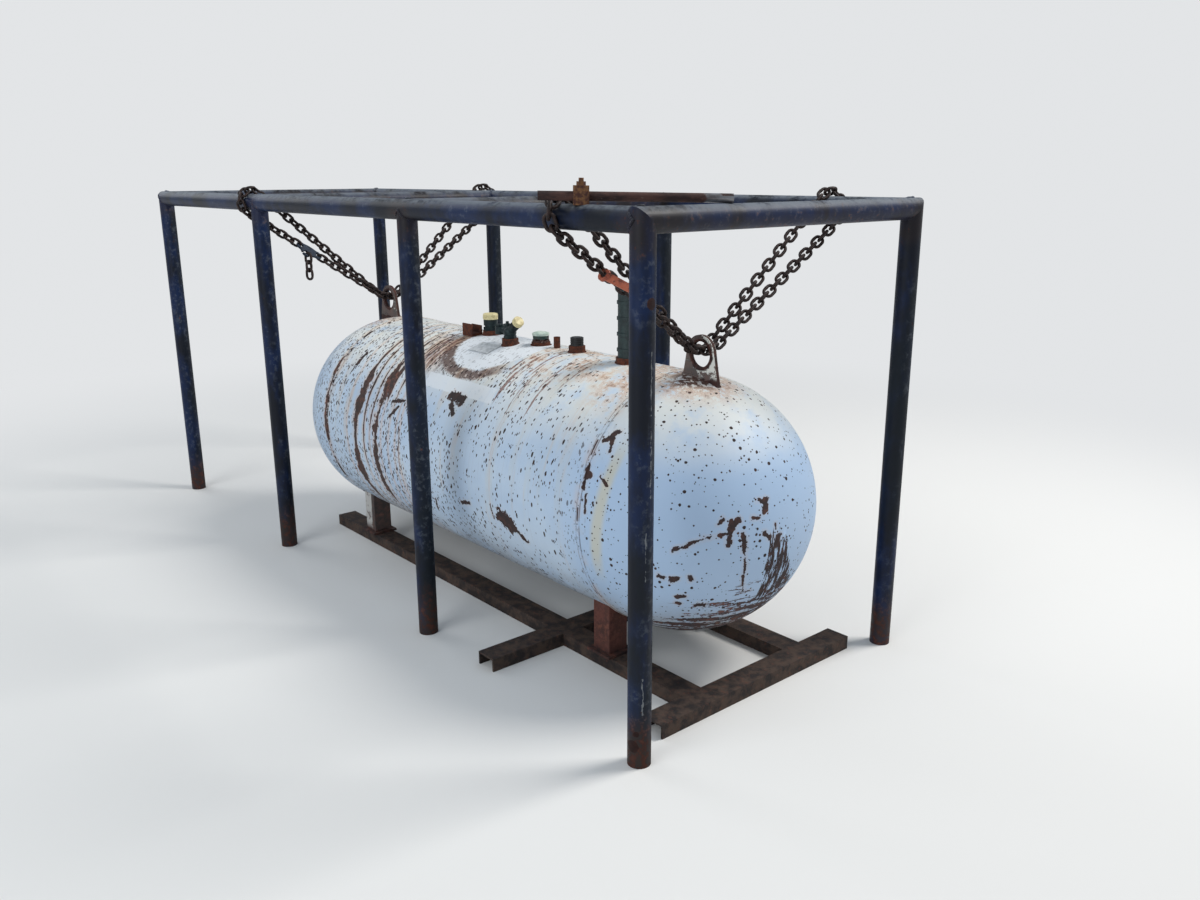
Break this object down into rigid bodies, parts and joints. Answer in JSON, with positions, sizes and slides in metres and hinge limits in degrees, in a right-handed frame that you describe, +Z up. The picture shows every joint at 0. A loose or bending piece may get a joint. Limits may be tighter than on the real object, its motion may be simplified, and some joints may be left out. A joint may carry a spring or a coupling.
{
  "type": "horizontal pressure tank",
  "caption": "Horizontal pressure tank with round heads on a steel base, chained by its lifting lugs into an open frame of welded pipe.",
  "frame": {"origin": "on the ground, under the middle of the pipe frame", "axes": "+X along the tank towards its front end, +Y across to the far side, +Z up"},
  "size_m": [3.1204, 1.1797, 1.4193],
  "materials": {
    "tank_paint": "chalky white paint with rust specks",
    "lug_steel": "white paint worn to rust",
    "leg_steel": "red primer and rust",
    "fitting_rust": "rusted steel",
    "valve_body": "dark weathered brass",
    "cap_cream": "faded pale yellow plastic",
    "dome_green": "faded pale green plastic",
    "plug_black": "dull black plastic",
    "riser_green": "dark green paint",
    "plate_white": "bare plate painted over",
    "frame_blue": "dull navy paint with wear",
    "base_steel": "dark rusted steel",
    "chain_steel": "dark brown rust",
    "binder_orange": "orange-red paint over rust",
    "hook_steel": "dark bluish steel",
    "bar_steel": "rusted bar with a bare end",
    "clamp_steel": "light tan rust"
  },
  "bodies": {
    "root": {"tank_shell": "tank_paint", "tank_head_front": "tank_paint", "tank_head_back": "tank_paint", "lug_front": "lug_steel", "lug_back": "lug_steel", "legs_front": "leg_steel", "legs_back": "leg_steel", "couplings": "fitting_rust", "filler_valve": "valve_body", "filler_cap": "cap_cream", "service_valve": "valve_body", "service_cap": "cap_cream", "relief_valve": "fitting_rust", "relief_cap": "dome_green", "stub_pipe": "fitting_rust", "ribbed_plug": "plug_black", "riser": "riser_green", "hood_bracket": "fitting_rust", "bare_plate": "plate_white", "post_near_1": "frame_blue", "post_near_2": "frame_blue", "post_near_3": "frame_blue", "post_near_4": "frame_blue", "post_far_1": "frame_blue", "post_far_2": "frame_blue", "post_far_3": "frame_blue", "post_far_4": "frame_blue", "rail_near": "frame_blue", "rail_far": "frame_blue", "rail_front": "frame_blue", "rail_mid_front": "frame_blue", "rail_mid_back": "frame_blue", "rail_back": "frame_blue", "runner_near": "base_steel", "runner_far": "base_steel", "tie_front": "base_steel", "tie_mid": "base_steel", "chain_front": "chain_steel", "chain_back": "chain_steel", "binder_lever": "binder_orange", "grab_hook": "hook_steel", "chain_tail": "chain_steel", "loose_bar": "bar_steel", "bar_clamp": "clamp_steel"}
  },
  "joints": []
}
